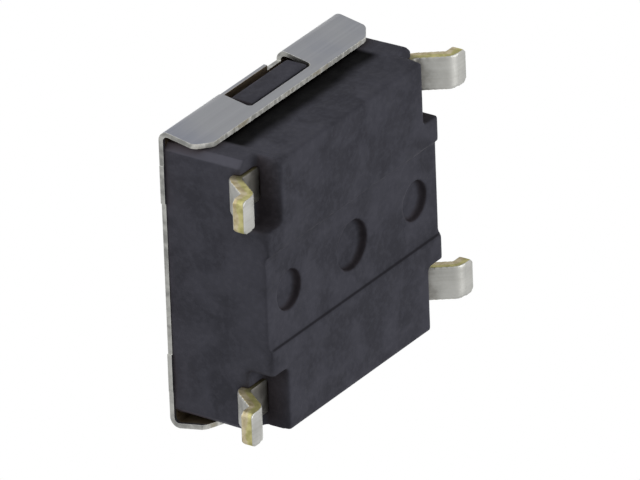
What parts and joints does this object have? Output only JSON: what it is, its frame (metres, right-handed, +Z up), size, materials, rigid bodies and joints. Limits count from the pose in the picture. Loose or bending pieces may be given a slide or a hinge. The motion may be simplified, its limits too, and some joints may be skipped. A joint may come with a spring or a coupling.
{
  "type": "tactile switch",
  "caption": "Surface-mount tactile push switch: black moulded base, clipped steel cover, round button, domed contact and gull-wing leads.",
  "frame": {"origin": "on the board's surface under the centre of the switch", "axes": "+X across the leads, +Y across the cover's folded flanges, +Z up out of the board, towards the button"},
  "size_m": [0.0076, 0.0062, 0.0031],
  "materials": {
    "base_plastic": "matte, black glass-filled moulding",
    "cover_steel": "satin stainless sheet",
    "button_plastic": "matte, black",
    "dome_steel": "bright spring stainless",
    "terminal_plate": "silver-plated brass, with bare sheared edges"
  },
  "bodies": {
    "base": {"housing": "base_plastic", "cover": "cover_steel", "snap_dome": "dome_steel", "outer_terminal": "terminal_plate", "center_terminal": "terminal_plate"},
    "button": {"plunger": "button_plastic"}
  },
  "joints": [
    {"name": "press", "type": "slide", "parent": "base", "child": "button", "axis": [0, 0, -1], "range_m": [0, 0.00025], "stiffness_N_per_m": 6400, "deforming": ["snap_dome"]}
  ]
}
